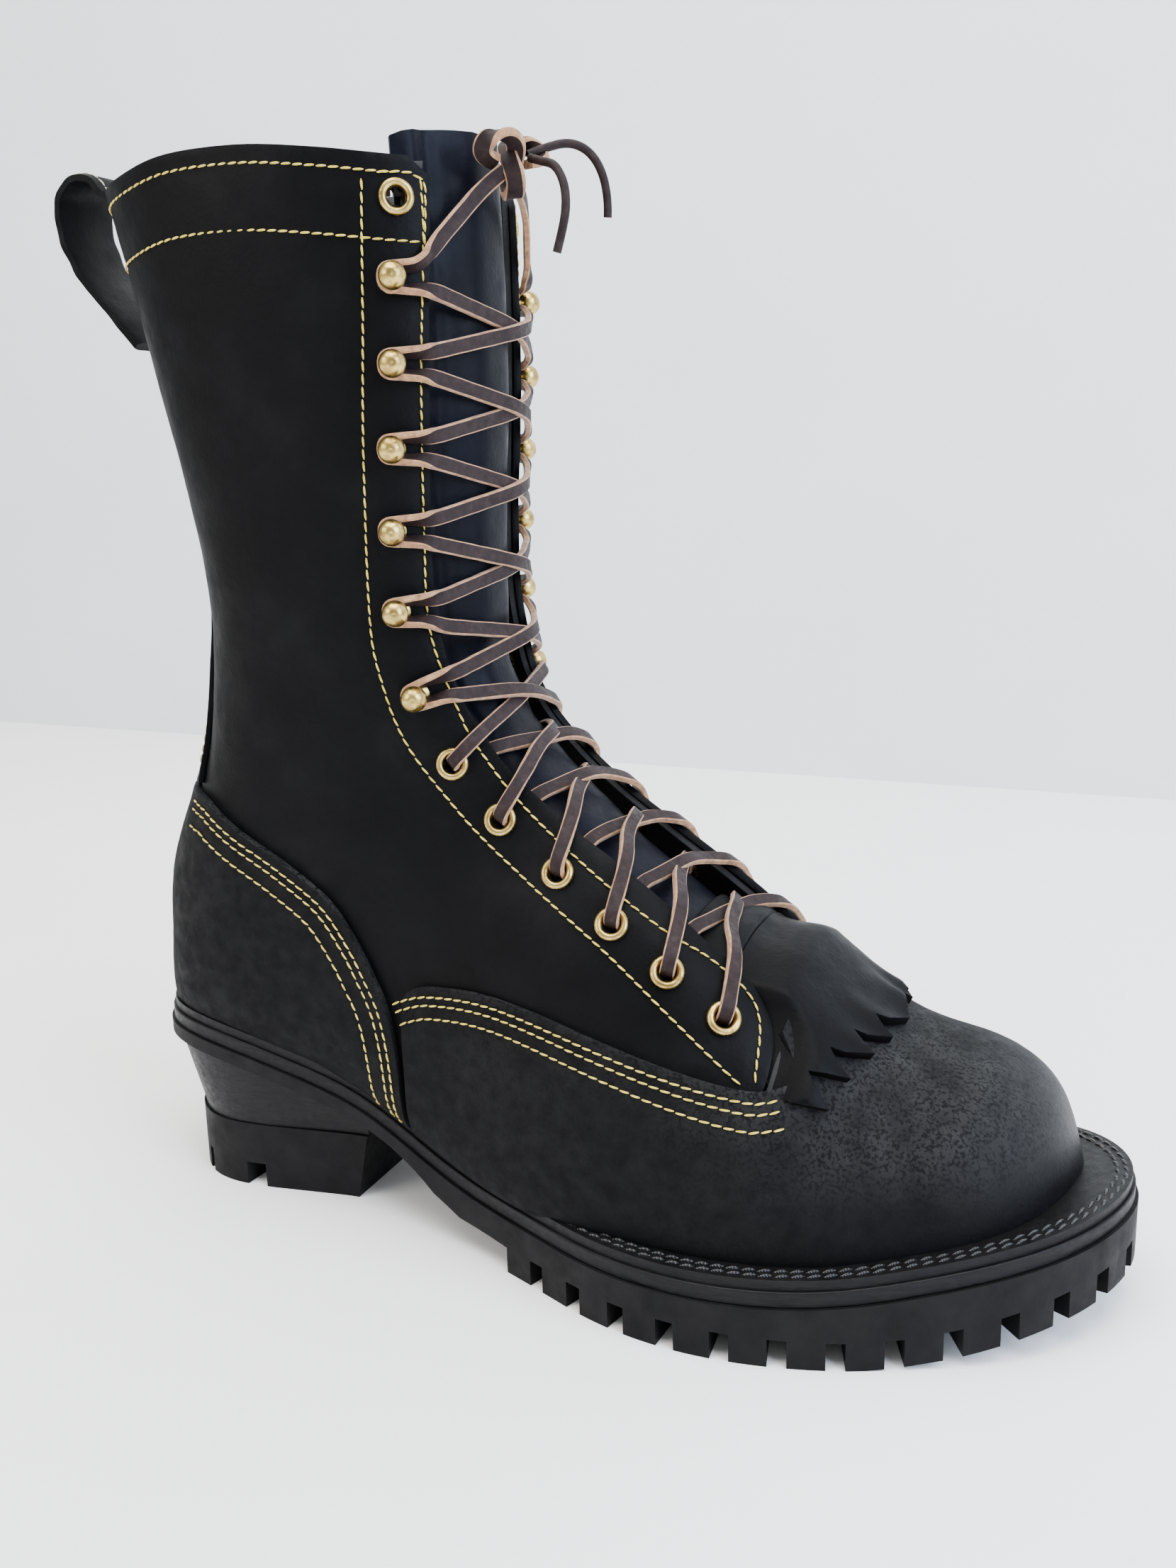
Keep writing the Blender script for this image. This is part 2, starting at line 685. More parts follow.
def rough_leather():
    """Rough side out: rubbed grey on the upward faces, dark flecks, and a waxed smooth toe."""
    paint = Paint("roughout_leather", 0.85)
    paint.specular(0.11)
    facing = paint.part(paint.tree.nodes.new("ShaderNodeNewGeometry").outputs["Normal"], "Z")
    toe = paint.spread(paint.part(paint.place, "X"), 0.0, 1.0, 0.218 * LONG, 0.252 * LONG)
    clouds = paint.ramp(paint.grain(26, 5, 0.55),
                        [(0.36, (0.0012, 0.0012, 0.0015)), (0.7, (0.0035, 0.0035, 0.004))])
    rubbed = paint.ramp(paint.grain(14, 6, 0.6),
                        [(0.3, (0.0035, 0.0035, 0.004)), (0.7, (0.021, 0.021, 0.0205))])
    lifted = paint.mixed(paint.spread(facing, 0.0, 1.0, 0.05, 0.75), clouds, rubbed)
    flecks = paint.spread(paint.grain(1.0, 3, 0.6), 0.0, 1.0, 0.49, 0.58)
    paint.colour(paint.mixed(flecks, lifted, (0.0015, 0.0015, 0.002)))
    paint.rough(paint.mixed(toe, paint.spread(paint.grain(5, 4), 0.62, 0.9), (0.4, 0.4, 0.4)))
    paint.bump(paint.grain(1.1, 5, 0.7), 0.22)
    paint.bump(paint.grain(0.45, 3, 0.7), 0.12)
    return paint.material


def cut_edge():
    paint = Paint("cut_leather_edge", 0.85)
    paint.mottle(paint.grain(1.4, 5), (0.3, (0.003, 0.003, 0.003)), (0.7, (0.012, 0.012, 0.012)))
    paint.bump(paint.grain(0.5, 5, 0.7, (1, 1, 4)), 0.25)
    return paint.material


def lining_leather():
    paint = Paint("lining_leather", 0.75)
    paint.sheen(0.15)
    paint.mottle(paint.grain(12, 5), (0.3, (0.018, 0.015, 0.013)), (0.7, (0.045, 0.038, 0.032)))
    paint.bump(paint.grain(0.8, 5, 0.65), 0.12)
    return paint.material


def thread(name, dark, light, gloss):
    paint = Paint(name, gloss)
    paint.mottle(paint.grain(1.1, 3), (0.3, dark), (0.7, light))
    wave = paint.node("ShaderNodeTexWave", {"Scale": 1 / (1.6 * MM), "Distortion": 1.5})
    wave.bands_direction = "DIAGONAL"
    paint.link(paint.place, wave.inputs["Vector"])
    paint.bump(wave.outputs["Fac"], 0.10)
    return paint.material


def brass():
    """Antiqued brass: polished high spots over a brown film."""
    paint = Paint("antique_brass", 0.3, 1.0)
    film = paint.spread(paint.grain(3.2, 5, 0.65), 0.0, 1.0, 0.42, 0.66)
    paint.colour(paint.mixed(film, (0.56, 0.41, 0.13), (0.20, 0.125, 0.035)))
    paint.rough(paint.spread(paint.grain(1.6, 4), 0.2, 0.42))
    paint.bump(paint.grain(0.8, 3), 0.02)
    return paint.material


def lace_grain():
    paint = Paint("lace_grain_side", 0.6)
    paint.specular(0.15)
    paint.mottle(paint.grain(3.0, 5, 0.7), (0.3, (0.008, 0.004, 0.004)), (0.55, (0.015, 0.008, 0.008)),
                 (0.8, (0.034, 0.019, 0.016)))
    paint.rough(paint.spread(paint.grain(2.0, 4), 0.45, 0.7))
    paint.bump(paint.grain(0.7, 5, 0.7), 0.10)
    return paint.material


def lace_flesh():
    paint = Paint("lace_flesh_side", 0.8)
    paint.sheen(0.2)
    paint.mottle(paint.grain(2.4, 6, 0.7), (0.28, (0.12, 0.05, 0.022)), (0.5, (0.30, 0.15, 0.065)),
                 (0.75, (0.48, 0.28, 0.14)))
    paint.bump(paint.grain(0.5, 5, 0.7), 0.14)
    return paint.material


def tread_rubber():
    paint = Paint("moulded_rubber", 0.6)
    paint.specular(0.1)
    paint.mottle(paint.grain(16, 5), (0.3, (0.0025, 0.0025, 0.0027)), (0.7, (0.007, 0.0065, 0.007)))
    paint.rough(paint.spread(paint.grain(6, 5), 0.5, 0.72))
    paint.bump(paint.grain(0.5, 4, 0.6), 0.05)
    paint.bump(paint.grain(5, 3), 0.15)
    return paint.material


def ground_edge():
    """Sole edge: leather and rubber ground flush, inked and waxed, with streaks along it."""
    paint = Paint("inked_sole_edge", 0.45)
    paint.gloss(0.12, coat=0.03, coat_roughness=0.35)
    paint.mottle(paint.grain(3.0, 6, 0.7, (0.25, 0.25, 3)), (0.35, (0.002, 0.002, 0.0024)),
                 (0.75, (0.007, 0.0065, 0.007)))
    paint.rough(paint.spread(paint.grain(2.0, 5), 0.32, 0.6))
    paint.bump(paint.grain(1.6, 5, 0.65, (0.3, 0.3, 3)), 0.14)
    return paint.material


def steel():
    paint = Paint("plain_steel", 0.35, 1.0)
    paint.mottle(paint.grain(4, 4), (0.3, (0.35, 0.35, 0.36)), (0.7, (0.55, 0.55, 0.56)))
    paint.bump(paint.grain(0.6, 4, 0.6, (1, 8, 1)), 0.03)
    return paint.material


def cork():
    paint = Paint("granular_cork", 0.9)
    paint.mottle(paint.grain(2.2, 3), (0.35, (0.20, 0.12, 0.06)), (0.65, (0.46, 0.31, 0.18)))
    paint.bump(paint.grain(1.8, 4), 0.3)
    return paint.material


def pale_backdrop(name, base):
    paint = Paint(name, 0.85)
    low = tuple(0.96 * c for c in base)
    paint.mottle(paint.grain(160, 3), (0.3, low), (0.7, base))
    paint.bump(paint.grain(3, 3), 0.05)
    return paint.material


SMOOTH, SOFT, NAP = smooth_leather(), tongue_leather(), rough_leather()
CUT, LINING = cut_edge(), lining_leather()
YELLOW = thread("yellow_thread", (0.46, 0.33, 0.03), (0.80, 0.64, 0.12), 0.5)
BLACK = thread("black_waxed_thread", (0.002, 0.002, 0.002), (0.009, 0.009, 0.009), 0.35)
PALE = thread("pale_thread", (0.42, 0.38, 0.24), (0.62, 0.58, 0.42), 0.5)
BRASS, GRAIN, FLESH = brass(), lace_grain(), lace_flesh()
RUBBER, EDGE, STEEL, CORK = tread_rubber(), ground_edge(), steel(), cork()

SIDES = {"lateral": -1, "medial": 1}
EYELETS = [(79.3, 147.5), (94.5, 132.3), (113.7, 119.2), (131.5, 107.4), (148.4, 96.3), (164.6, 85.4)]
TOP_EYELET = (71.5, 301)
HOOKS = [(69.5, 280.5), (68.5, 258.5), (67, 236.3), (65.8, 214), (65.8, 191.5), (69.8, 167.5)]


def frame_at(place, side):
    """Surface point, outward normal and the direction across towards the throat."""
    s, turn = locate(place, side)
    point, normal = skin(s, turn), outward(s, turn)
    ahead = skin(s, turn + side * 0.01) - point
    return point, normal, ahead / np.linalg.norm(ahead)


# ---- stitch rows
STAY_FRONT = [(76.3, 306), (76.4, 288.4), (74.4, 251.8), (72.8, 213.5), (73.4, 185.7), (80.8, 161.1),
              (88.3, 149), (105.5, 131.9), (141.7, 107.9), (157.3, 98.8), (168.5, 90), (173.4, 82.4),
              (174.9, 70.5)]
STAY_REAR = [(64.1, 305.8), (62.4, 270.3), (59.8, 233.3), (58.4, 194.2), (60.1, 174), (67.5, 151.1),
             (84.8, 131.2), (103.9, 116.9), (130.2, 101.1), (150.1, 86.8), (170.7, 71)]
BOX_EDGE = [(76.6, 289), (77, 300), (76.7, 305.5), (74.5, 307.2), (66, 307.2)]
RIM_ROW_DROP, SECOND_ROW_DROP = 4.6, 21.5
RIM_ROW_TURN, SECOND_ROW_TURN, BEHIND_TURN = 2.38, 2.52, 0.02
VAMP_ROWS = (2.7, 5.2, 9.2)
COUNTER_ROWS = (3.0, 5.6, 11.0)
BACKSTAY_ROWS = (-0.82, -0.60, 0.60, 0.82)
ROW_LIFT = 0.1

VAMP_ROW_PATH = [(60, 77.5), (70, 81.3), *VAMP_SEAM[2:-1], (181.5, 69.2)]


def outer_rows():
    """Stitch rows of both sides: those on the smooth leather and those on the overlays."""
    on_quarter, on_overlay = [], []
    for side in SIDES.values():
        for path in (STAY_FRONT, STAY_REAR, BOX_EDGE):
            on_quarter.append(row_on(trace(path, side), ROW_LIFT))
        for turn, drop in ((RIM_ROW_TURN, RIM_ROW_DROP), (SECOND_ROW_TURN, SECOND_ROW_DROP)):
            on_quarter.append(row_on(rim_line(side * BEHIND_TURN, side * turn, drop), ROW_LIFT))
        for path, drops in ((VAMP_ROW_PATH, VAMP_ROWS), (COUNTER_EDGE, COUNTER_ROWS)):
            for drop in drops:
                row = offset_curve(fine_curve(path, 4.0), -drop)
                on_overlay.append(row_on(trace(row, side), OVER_OUT + ROW_LIFT))
    return on_quarter, on_overlay


quarter_rows, overlay_rows = outer_rows()


def backstay_rows():
    """Four close rows that hold the backstay strip over the back seam."""
    rows = []
    for share in BACKSTAY_ROWS:
        trail = [(s, share * strip_half(s)) for s in np.linspace(1.75, 6.3, 60)]
        rows.append(row_on(trail, OVER_OUT - 0.3))
    return rows


def strip_half(s):
    return 0.30 + 0.15 * max(0.0, s - 4.2) ** 1.3


strip_rows = backstay_rows()
seams.extend(row[0] for row in quarter_rows + overlay_rows + strip_rows)


# ---- leather pieces
HOLE_RADIUS = 2.9


def punched(side):
    """Centre and radius of each eyelet's hole on one side."""
    return [(frame_at(place, side)[0], HOLE_RADIUS) for place in [TOP_EYELET] + EYELETS]


def quarter_outline(side, back_turn=0.0):
    """Rim, front edge, hidden foot and back seam of one quarter."""
    rim = rim_line(side * back_turn, side * 2.5)
    corner = [point for point in trace(FLAP_EDGE, side) if point[0] > rim[-1][0] + 0.12]
    foot = trace(QUARTER_FOOT, side)
    under = [(13.2, side * 1.0), (12.0, side * 0.5), (11.6, side * back_turn)]
    back = [(s, side * back_turn) for s in np.arange(11.4, rim[0][0], -0.1)]
    return rim + corner + foot[1:] + under + back


def build_quarters():
    for word, side in SIDES.items():
        leather_panel("quarter_leather_" + word, ["quarter_" + word], quarter_outline(side), -LEATHER, 0.0,
                      SMOOTH, holes=punched(side), above=LEDGE, stitched=True)


FACING_INSET, FACING_REAR = 0.6, 24.0


def build_facings():
    """Facings behind the eyelets and hooks, set back a little from the flap's edge."""
    for word, side in SIDES.items():
        front = trace(offset_curve(FLAP_EDGE[1:-6], -FACING_INSET), side)
        rear = trace(offset_curve(FLAP_EDGE[1:-6], -FACING_REAR), side)
        top = rim_station(front[0][1])
        outline = [place for place in front + rear[::-1] if place[0] > top]
        leather_panel("facing_leather_" + word, ["eyestay_" + word], outline, INNER_IN, INNER_OUT, CUT,
                      holes=punched(side), strength=0.6)


def mirrored_outline(lateral):
    """Close an outline given for the lateral side with its medial mirror, through the front."""
    near = [(s, turn % (2 * PI)) for s, turn in lateral]
    far = [(s, 2 * PI - turn) for s, turn in near]
    return near + far[::-1]


def build_vamp():
    seam = trace(VAMP_SEAM, -1)
    rear = trace(VAMP_REAR, -1)
    hidden = [(18.3, -2.5), (18.32, -2.9)]
    low = [(14.1, -1.0), (16.0, -0.6), (19.0, -0.42), (TOE_END, -0.32)]
    outline = mirrored_outline(low[::-1] + rear[::-1] + seam[1:] + hidden)
    leather_panel("vamp_leather", ["vamp"], outline, OVER_IN, OVER_OUT, NAP, above=LEDGE, strength=0.8,
                  stitched=True)


def build_vamp_lining():
    lateral = [(TOE_END, -0.32), (19.0, -0.42), (16.0, -0.6), (14.3, -1.0),
               *trace([(72, 50), (72, 59.4)], -1),
               *trace([(92, 66.2), (120, 62.2), (150, 54.2), (166.5, 49.2)], -1),
               *trace([(172, 57.2), (177.4, 66.6), (179, 76)], -1), (18.4, -2.6), (18.4, -2.95)]
    leather_panel("vamp_lining_leather", ["vamp_lining"], mirrored_outline(lateral), -LEATHER, 0.0, CUT,
                  above=LEDGE, edge=0, steps=(0.12, 2 * PI / 90))


def build_counter():
    back = station_at(0.0, lambda x: COUNTER_TOP)
    lateral = trace(COUNTER_EDGE, -1)
    outline = [(back, 0.0), (back, -0.3)] + lateral + [(14.4, -1.1), (12.3, 0.0), (14.4, 1.1)]
    outline += [(s, -turn) for s, turn in lateral[::-1]] + [(back, 0.3)]
    leather_panel("counter_leather", ["counter_cover"], outline, OVER_IN, OVER_OUT, NAP, above=LEDGE,
                  stitched=True)


def build_heel_counter():
    """The heel's stiffener, seen only from inside the shaft."""
    ring = [(7.4, 0.0)] + [(7.4 + 0.35 * k * k, -0.28 * k) for k in range(1, 5)] + [(13.6, -1.2), (12.2, 0.0)]
    outline = ring + [(s, -turn) for s, turn in ring[1:-1]][::-1]
    leather_panel("heel_counter_leather", ["heel_counter"], outline, INNER_IN, INNER_OUT, LINING, above=LEDGE,
                  edge=0, steps=(0.12, 2 * PI / 90))


def build_backstay():
    stations = np.linspace(1.66, 6.62, 60)
    outline = [(s, -strip_half(s)) for s in stations] + [(s, strip_half(s)) for s in stations[::-1]]
    leather_panel("backstay_strip", ["backstay"], outline, OVER_IN, OVER_OUT - 0.4, SMOOTH, strength=0.8,
                  stitched=True)


def build_collar():
    top = rim_line(-2.25, 2.25, 0.3, 90)
    low = rim_line(2.25, -2.25, 20.0, 90)
    leather_panel("collar_lining", ["collar_band"], top + low, INNER_IN, INNER_OUT, LINING, strength=0.8)


LACE_ROOM, KILTIE_ROOM, TONGUE_GAP, TONGUE_THICK, KILTIE_GAP = 4.6, 1.8, 1.0, 2.2, 0.4
TONGUE_HALF = 33.0


def eased(s, start, end):
    part = np.clip((np.asarray(s) - start) / (end - start), 0, 1)
    return part * part * (3 - 2 * part)


def tongue_top(s, turn=None):
    return INNER_IN - TONGUE_GAP - LACE_ROOM * eased(s, 4.0, 6.5) - KILTIE_ROOM * eased(s, 14.5, 16.0)


def front_turn(s, y):
    """Turn from 0 to 2 pi at which the front half of section s reaches the drawn y."""
    i = min(int(max(s, 0)), len(TABLE) - 2)
    row = TABLE[i] * (1 - (s - i)) + TABLE[i + 1] * (s - i)
    ridge, lateral, medial, front = row[4], row[5], row[6], row[9]
    half = medial if y >= ridge else lateral
    turn = PI - math.asin(min(abs(y - ridge) / half, 0.999) ** (front / 2))
    return turn if y >= ridge else 2 * PI - turn


def tongue_folds(s, turn, base):
    """The rolled front stands proud and a soft valley runs down each side of it."""
    y = base[:, 1]
    shaft = 1 - eased(s, 7.5, 10.5)
    valley = -1.6 * np.exp(-((np.abs(y) - 23) / 3.2) ** 2) + 0.9 * np.exp(-((np.abs(y) - 28) / 3.0) ** 2)
    roll = 4.2 * np.exp(-(y / 13) ** 4)
    return shaft * (valley + roll)


def build_tongue():
    stations = np.arange(0.02, 18.01, 0.25)
    near = [(s, front_turn(s, -TONGUE_HALF)) for s in stations]
    far = [(s, front_turn(s, TONGUE_HALF)) for s in stations]
    top = [(0.02 - 0.10 * math.sin(PI * k / 16) ** 0.6, near[0][1] + (far[0][1] - near[0][1]) * (1 - k / 16))
           for k in range(1, 16)]
    outline = near[::-1] + top[::-1] + far
    leather_panel("tongue_leather", ["tongue"], outline, lambda s, t: tongue_top(s) - TONGUE_THICK,
                  tongue_top, SOFT, body="tongue", shape=tongue_folds, edge=0.6)


def build_gussets():
    """Bellows folded between the tongue and the quarters."""
    near, far, fold = 1.5, 2.08, 0.9
    stations = np.linspace(1.2, 12.0, 60)

    def folds(s, turn, base):
        share = (np.abs(turn) - near) / (far - near)
        return -fold * np.sin(share * 2 * PI) ** 2

    for word, side in SIDES.items():
        outline = [(s, side * near) for s in stations] + [(s, side * far) for s in stations[::-1]]
        leather_panel("gusset_leather_" + word, ["gusset_" + word], outline, INNER_IN - 1.9, INNER_IN - 0.8,
                      SOFT, shape=folds, steps=(0.08, 2 * PI / 160), edge=0.25)


# ---- the kiltie
KILTIE_HALF = 26.0
LEAF_TIPS = [(192, -42), (195, -34), (198.8, -24), (202, -13.5)]
CENTRE_TIP = (204, 1)
LEAF_SIDE = [(176, -44), (179, -46), (183, -45.8), (187.5, -44)]


flap_front = np.array(trace(FLAP_EDGE[13:18], 1))
THROAT_STATION = 17.75


def kiltie_rise(s, turn):
    """Offset of the kiltie's under face: low in the throat, under the flaps, then over the vamp."""
    fold = PI - np.abs(turn - PI)
    order = np.argsort(flap_front[:, 1])
    edge = np.interp(fold, flap_front[order, 1], flap_front[order, 0])
    edge = np.where(fold > flap_front[:, 1].max(), THROAT_STATION, edge)
    low = tongue_top(s) + KILTIE_GAP
    tucked = -LEATHER - 0.5 - TONGUE_THICK
    over = OVER_OUT + KILTIE_GAP
    low = low + (tucked - low) * eased(s, 17.1, 17.6)
    return low + (over - low) * eased(s, edge - 0.10, edge + 0.50)


def leaf_outline():
    """Plan outline of the fringe: pointed leaves, each cut in behind its tip."""
    lateral = list(LEAF_SIDE)
    for x, y in LEAF_TIPS:
        lateral += [(x, y), (x - 3.6, y + 1.0), (x - 6.8, y + 3.0), (x - 3.0, y + 5.0)]
    medial = [(x, 2 - y) for x, y in lateral[::-1]]
    return lateral + [CENTRE_TIP] + medial


def build_kiltie():
    stations = np.linspace(17.05, 17.62, 8)
    outline = [(s, front_turn(s, -KILTIE_HALF)) for s in stations]
    outline += [(s, front_turn(s, KILTIE_HALF)) for s in stations[::-1]]
    leather_panel("kiltie_root_leather", ["kiltie_root"], outline, kiltie_rise,
                  lambda s, t: kiltie_rise(s, t) + TONGUE_THICK, SMOOTH, steps=(0.04, 2 * PI / 200), edge=0.3)
    fringe = []
    for x, y in leaf_outline():
        s, turn = locate((x, y), -1 if y < 2 else 1, PLAN_VIEW)
        fringe.append((s, turn % (2 * PI)))
    medial = [(18.1, 43), (17.95, 40), (17.66, 34), (17.64, 26), (17.64, 12)]
    lateral = [(s, -y) for s, y in medial[::-1]]
    root = [(s, front_turn(s, y)) for s, y in [*medial, (17.64, 0), *lateral]]

    def leaf_lift(s, turn, base):
        tip = eased(s, 18.6, 19.6)
        return 0.9 * tip * np.sin(turn * 23) + 0.5 * tip

    leather_panel("kiltie_fringe_leather", ["kiltie_fringe"], fringe + root, kiltie_rise,
                  lambda s, t: kiltie_rise(s, t) + TONGUE_THICK + 0.3, SMOOTH, body="kiltie", shape=leaf_lift,
                  steps=(0.03, 2 * PI / 220), edge=0.45)


# ---- pull loop
LOOP_LINE = [(-38.5, 269), (-48, 279.5), (-59, 292), (-65, 305), (-64.5, 316), (-58, 322), (-50, 321.5),
             (-44.8, 316.5)]
LOOP_HALF, LOOP_THICK = 12.0, 1.5


def build_pull_loop():
    """A folded strap bowed out behind the rim, stitched down at both ends."""
    line = fine_curve(LOOP_LINE, 1.5)
    centre = stretched(np.stack([line[:, 0], np.zeros(len(line)), line[:, 1]], 1))
    along = tangents(centre)
    inward = np.stack([along[:, 2], np.zeros(len(line)), -along[:, 0]], 1)
    centre += inward * LOOP_THICK
    across = np.tile([0.0, 1.0, 0.0], (len(line), 1))
    points, faces, _ = ribbon_mesh(centre, across, LOOP_HALF * WIDE, LOOP_THICK)
    piece = mesh_piece("pull_loop_strap", points, faces, [SMOOTH], sharp_angle=40)
    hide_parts("pull_loop")
    edge = LOOP_HALF - 2.5
    return [(centre - inward * 1.55 + np.array([0, y, 0]), -inward) for y in (-edge, edge)]


# ---- lathe work
def lathe(profile, sides=28):
    """Turn a closed profile of (radius, height) pairs round the Z axis."""
    points = [(r * math.cos(2 * PI * k / sides), r * math.sin(2 * PI * k / sides), z)
              for k in range(sides) for r, z in profile]
    count = len(profile)
    faces = []
    for k in range(sides):
        for j in range(count):
            a, b = k * count + j, k * count + (j + 1) % count
            c, d = ((k + 1) % sides) * count + (j + 1) % count, ((k + 1) % sides) * count + j
            faces.append((a, d, c, b))
    return np.array(points), faces


def turned_up(points, point, normal, ahead):
    """Stand lathe points on the leather."""
    across = np.cross(normal, ahead)
    return point + points[:, :1] * ahead + points[:, 1:2] * across + points[:, 2:] * normal


def arc_points(centre, radius, first, last, count):
    return [(centre[0] + radius * math.cos(math.radians(first + (last - first) * k / (count - 1))),
             centre[1] + radius * math.sin(math.radians(first + (last - first) * k / (count - 1))))
            for k in range(count)]


def eyelet_profile():
    """Rolled outer flange, barrel and clenched inner flange."""
    roll = arc_points((3.75, 0.62), 1.08, 170, 0, 9)
    inner = [(4.8, 0.2), (3.1, 0.2), (3.1, INNER_IN - 0.2), (4.3, INNER_IN - 0.2), (4.3, INNER_IN - 0.6),
             (2.6, INNER_IN - 0.6)]
    return roll + inner + [(2.6, 0.4)]


def hook_profile():
    """Foot plate, waisted stem and ball head with a faint flat where the die pressed it."""
    foot = [(0.05, 0.1), (3.7, 0.1), (3.9, 0.45), (3.3, 0.9), (1.9, 1.3)]
    stem = [(1.5, 2.0), (1.45, 3.3), (1.75, 4.0)]
    ball = arc_points((0.0, 7.3), 3.75, -62, 76, 14)
    return foot + stem + ball + [(0.05, 10.75)]


def clench_profile():
    return [(0.05, INNER_IN - 0.1), (3.2, INNER_IN - 0.1), (3.1, INNER_IN - 0.45), (0.05, INNER_IN - 0.6)]


def build_fittings():
    for word, side in SIDES.items():
        for node, name, profiles, places in (
                ("eyelets_" + word, "rolled_eyelets_" + word, [eyelet_profile()], [TOP_EYELET] + EYELETS),
                ("hooks_" + word, "ball_hooks_" + word, [hook_profile(), clench_profile()], HOOKS)):
            points, faces = [], []
            for place in places:
                for profile in profiles:
                    shape, rings = lathe(profile)
                    first = len(points)
                    points += list(turned_up(shape, *frame_at(place, side)))
                    faces += [tuple(first + i for i in face) for face in rings]
            piece = mesh_piece(name, points, faces, [BRASS], sharp_angle=45)
            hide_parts(node)


# ---- the lace
UNDER, OVER_HOLE, BAR_OFFSET = 6.8, 3.6, -4.7
STEM, LACE_RADIUS = 1.5, 1.2
LACE_HALF, LACE_THICK = 2.1, 1.0
OVER_FLAP, OVER_SHAFT_FLAP = 1.9, 2.4
STEM_HEIGHT, STEM_FRONT = 2.5, 8.0
KNOT = (93.5, -8, 312)
EDGE_PLACES = {side: [locate(spot, side) for spot in FLAP_EDGE[1:-4]] for side in (-1, 1)}


class LaceLine:
    """Corner points of the lace and its wide direction at each."""

    def __init__(self):
        self.spots, self.outs = [], []

    def add(self, spot, out):
        self.spots.append(np.asarray(spot, float))
        self.outs.append(np.asarray(out, float))

    def lie(self, s, turn, offset):
        """Pass flat over the surface."""
        self.add(surface(s, turn, offset), -np.cross(outward(s, turn), [0.0, 1.0, 0.0]))

    def throat(self, s, y, offset):
        self.lie(s, front_turn(s, y), offset)

    def over_edge(self, s, side, offset):
        places = EDGE_PLACES[side]
        i = max(j for j in range(len(places) - 1) if places[j][0] <= s or j == 0)
        (s_a, turn_a), (s_b, turn_b) = places[i], places[i + 1]
        turn = turn_a + (turn_b - turn_a) * (s - s_a) / (s_b - s_a)
        self.lie(s, turn + side * 0.03, offset)

    def through(self, place, side):
        """Come up through an eyelet."""
        point, normal, ahead = frame_at(place, side)
        across = np.cross(normal, ahead)
        self.add(point - normal * UNDER, across)
        self.add(point + normal * OVER_HOLE, across)

    def round_hook(self, place, side):
        """Turn back behind a hook's stem, standing on edge."""
        point, normal, ahead = frame_at(place, side)
        up = np.cross(normal, ahead) * -side
        reach = STEM + LACE_RADIUS + 0.25
        base = point + normal * STEM_HEIGHT
        for forward, rise in ((STEM_FRONT, -reach), (-reach, -reach), (-reach, reach), (STEM_FRONT, reach)):
            lean = normal if forward < 0 else normal * 0.8 + up * 0.6 * np.sign(rise)
            self.add(base + ahead * forward + up * rise, lean)


def lace_half(side, lift):
    line = LaceLine()
    levels = list(reversed(EYELETS))
    line.throat(locate(levels[0], side)[0], side * 14.0, BAR_OFFSET)
    for i, place in enumerate(levels):
        here = locate(place, side)[0]
        line.through(place, side)
        following = levels[i + 1] if i + 1 < len(levels) else HOOKS[-1]
        onward = locate(following, -side)[0]
        line.over_edge(here + (onward - here) * 0.15, side, OVER_FLAP)
        if i + 1 < len(levels):
            for share, y, offset in ((0.38, 13.0, -3.9), (0.5, 0.0, -5.6 + lift), (0.62, -13.0, -6.9),
                                     (0.85, -24.5, -UNDER)):
                line.throat(here + (onward - here) * share, side * y, offset)
        else:
            line.throat(here + (onward - here) * 0.5, 0.0, -1.6 + lift)
            line.over_edge(here + (onward - here) * 0.82, -side, OVER_FLAP)
        side = -side
    for i, place in enumerate(reversed(HOOKS)):
        line.round_hook(place, side)
        here = locate(place, side)[0]
        if i + 1 < len(HOOKS):
            onward = locate(HOOKS[-2 - i], -side)[0]
            level = onward - here
            line.over_edge(here + level * (0.16 if side < 0 else 0.30), side, OVER_SHAFT_FLAP)
            line.throat(here + level * 0.5, 7.0, 4.4 + 0.7 * lift)
            line.over_edge(here + level * (0.84 if side > 0 else 0.70), -side, OVER_SHAFT_FLAP)
        else:
            line.over_edge(0.85, side, OVER_SHAFT_FLAP)
            line.throat(0.45, side * 14.0, 4.0)
            end = stretched(np.array([KNOT[0] - 1.0, KNOT[1] + side * 3.0, KNOT[2] - 3.0]))
            line.add(end, (0.3, 0.0, 1.0))
        side = -side
    return line


def thong(name, node, line, wide, half_width, half_thick):
    """A flat thong with dark faces and tan cut edges, standing for a CAD node."""
    points, faces, kinds = ribbon_mesh(line, wide, half_width, half_thick)
    piece = mesh_piece(name, points, faces, [GRAIN, FLESH], sharp_angle=40, face_materials=kinds)
    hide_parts(node)


def build_lace():
    down, up = lace_half(-1, 1.45), lace_half(1, -1.45)
    spots = down.spots[::-1] + up.spots
    outs = down.outs[::-1] + up.outs
    line, wide = rounded_path(spots, outs)
    thong("lace_thong", "lace", line, wide, LACE_HALF, LACE_THICK)


def build_knot():
    """An overhand knot drawn tight in the flat thong."""
    turns = np.linspace(0.25, 2 * PI - 0.25, 160)
    size = 4.1
    x = size * 0.75 * np.sin(3 * turns)
    y = size * (np.sin(turns) + 1.35 * np.sin(2 * turns))
    z = size * (np.cos(turns) - 1.35 * np.cos(2 * turns))
    line = stretched(np.array(KNOT, float)) + np.stack([x + 0.25 * y, y, z * 0.9], 1)
    wide = np.tile([1.0, 0.15, 0.1], (len(line), 1))
    thong("lace_knot_thong", "lace_knot", line, wide, LACE_HALF + 0.5, LACE_THICK + 0.2)


